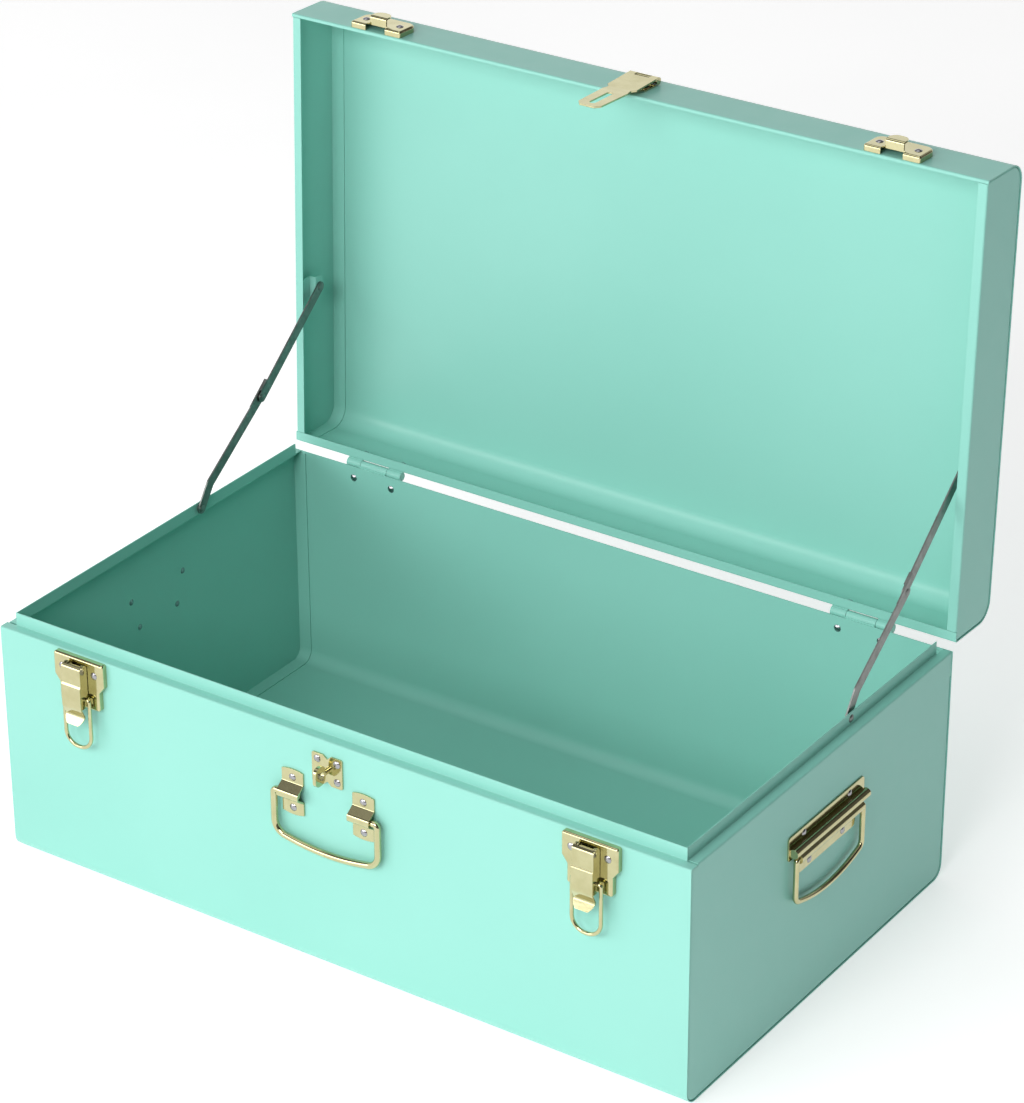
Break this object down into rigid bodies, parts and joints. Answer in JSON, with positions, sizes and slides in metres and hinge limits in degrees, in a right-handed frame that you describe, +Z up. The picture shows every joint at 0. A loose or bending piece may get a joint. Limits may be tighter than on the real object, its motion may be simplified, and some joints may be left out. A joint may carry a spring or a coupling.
{
  "type": "metal storage trunk",
  "caption": "Low painted sheet-metal storage trunk for papers and keepsakes, with a hinged lid on folding stays, draw latches, a hasp with a turning staple and bail handles.",
  "frame": {"origin": "middle of the tray's flat underside", "axes": "+X to the right along the trunk's length, +Y to the back, +Z up; the front with the latches faces -Y"},
  "size_m": [0.615, 0.4395, 0.5655],
  "materials": {
    "mint_paint": "satin",
    "brass_plate": "polished",
    "rivet_steel": "satin",
    "stay_steel": "satin"
  },
  "bodies": {
    "tray": {"front_handle_bracket_left": "brass_plate", "front_handle_bracket_right": "brass_plate", "front_handle_rivets": "rivet_steel", "hinge_pin_left": "mint_paint", "hinge_pin_right": "mint_paint", "hinge_tray_leaf_left": "mint_paint", "hinge_tray_leaf_right": "mint_paint", "hinge_tray_rivets": "rivet_steel", "latch_base_left": "brass_plate", "latch_base_right": "brass_plate", "latch_pin_left": "brass_plate", "latch_pin_right": "brass_plate", "latch_rivets": "rivet_steel", "side_handle_plate_left": "brass_plate", "side_handle_plate_right": "brass_plate", "side_handle_rivets": "rivet_steel", "staple_plate": "brass_plate", "staple_rivets": "rivet_steel", "stay_foot_rivet_left": "stay_steel", "stay_foot_rivet_right": "stay_steel", "tray_end_left": "mint_paint", "tray_end_right": "mint_paint", "tray_wrapper": "mint_paint"},
    "lid": {"catch_left": "brass_plate", "catch_right": "brass_plate", "catch_rivets": "rivet_steel", "hasp_leaf": "brass_plate", "hasp_pin": "brass_plate", "hasp_rivets": "rivet_steel", "hinge_lid_leaf_left": "mint_paint", "hinge_lid_leaf_right": "mint_paint", "hinge_lid_rivets": "rivet_steel", "lid_end_left": "mint_paint", "lid_end_right": "mint_paint", "lid_wrapper": "mint_paint", "stay_bracket_left": "mint_paint", "stay_bracket_right": "mint_paint", "stay_head_rivet_left": "stay_steel", "stay_head_rivet_right": "stay_steel"},
    "front_handle": {"front_handle_bail": "brass_plate"},
    "hasp_strap": {"hasp_strap": "brass_plate"},
    "latch_bail_left": {"latch_bail_left": "brass_plate"},
    "latch_bail_right": {"latch_bail_right": "brass_plate"},
    "latch_lever_left": {"latch_lever_left": "brass_plate"},
    "latch_lever_right": {"latch_lever_right": "brass_plate"},
    "side_handle_left": {"side_handle_bail_left": "brass_plate"},
    "side_handle_right": {"side_handle_bail_right": "brass_plate"},
    "stay_lower_left": {"stay_elbow_rivet_lower_left": "stay_steel", "stay_lower_left": "stay_steel"},
    "stay_lower_right": {"stay_elbow_rivet_lower_right": "stay_steel", "stay_lower_right": "stay_steel"},
    "stay_upper_left": {"stay_elbow_rivet_upper_left": "stay_steel", "stay_upper_left": "stay_steel"},
    "stay_upper_right": {"stay_elbow_rivet_upper_right": "stay_steel", "stay_upper_right": "stay_steel"},
    "turn_staple": {"turn_staple": "brass_plate"}
  },
  "joints": [
    {"name": "lid_hinge", "type": "hinge", "parent": "tray", "child": "lid", "pos_m": [0, 0.1832, 0.1925], "axis": [1, 0, 0], "range_deg": [0, 91.8]},
    {"name": "stay_foot_left", "type": "hinge", "parent": "tray", "child": "stay_lower_left", "pos_m": [-0.2888, 0.046, 0.1965], "axis": [1, 0, 0], "range_deg": [0, 126.09]},
    {"name": "stay_head_left", "type": "hinge", "parent": "lid", "child": "stay_upper_left", "pos_m": [-0.2873, 0.20283, 0.32685], "axis": [1, 0, 0], "range_deg": [-140.17, 0]},
    {"name": "latch_lever_left", "type": "hinge", "parent": "tray", "child": "latch_lever_left", "pos_m": [-0.2225, -0.1875, 0.1855], "axis": [-1, 0, 0], "range_deg": [0, 95]},
    {"name": "latch_bail_left", "type": "hinge", "parent": "latch_lever_left", "child": "latch_bail_left", "pos_m": [-0.2225, -0.1872, 0.1605], "axis": [1, 0, 0], "range_deg": [-180, 5]},
    {"name": "side_handle_left", "type": "hinge", "parent": "tray", "child": "side_handle_left", "pos_m": [-0.3038, 0, 0.131], "axis": [0, 1, 0], "range_deg": [0, 95]},
    {"name": "stay_foot_right", "type": "hinge", "parent": "tray", "child": "stay_lower_right", "pos_m": [0.2888, 0.046, 0.1965], "axis": [1, 0, 0], "range_deg": [0, 126.09]},
    {"name": "stay_head_right", "type": "hinge", "parent": "lid", "child": "stay_upper_right", "pos_m": [0.2873, 0.20283, 0.32685], "axis": [1, 0, 0], "range_deg": [-140.17, 0]},
    {"name": "latch_lever_right", "type": "hinge", "parent": "tray", "child": "latch_lever_right", "pos_m": [0.2225, -0.1875, 0.1855], "axis": [-1, 0, 0], "range_deg": [0, 95]},
    {"name": "latch_bail_right", "type": "hinge", "parent": "latch_lever_right", "child": "latch_bail_right", "pos_m": [0.2225, -0.1872, 0.1605], "axis": [1, 0, 0], "range_deg": [-180, 5]},
    {"name": "side_handle_right", "type": "hinge", "parent": "tray", "child": "side_handle_right", "pos_m": [0.3038, 0, 0.131], "axis": [0, -1, 0], "range_deg": [0, 95]},
    {"name": "hasp_strap", "type": "hinge", "parent": "lid", "child": "hasp_strap", "pos_m": [0, 0.22366, 0.55681], "axis": [-1, 0, 0], "range_deg": [0, 170]},
    {"name": "turn_staple", "type": "hinge", "parent": "tray", "child": "turn_staple", "pos_m": [0, -0.179, 0.1685], "axis": [0, 1, 0], "range_deg": [0, 90]},
    {"name": "front_handle", "type": "hinge", "parent": "tray", "child": "front_handle", "pos_m": [0, -0.18364, 0.141], "axis": [-1, 0, 0], "range_deg": [0, 100]}
  ],
  "couplings": [
    {"joint": "stay_foot_left", "follows": "lid_hinge", "ratio": 1.3681},
    {"joint": "stay_head_left", "follows": "lid_hinge", "ratio": -1.5214},
    {"joint": "stay_foot_right", "follows": "lid_hinge", "ratio": 1.3681},
    {"joint": "stay_head_right", "follows": "lid_hinge", "ratio": -1.5214}
  ]
}
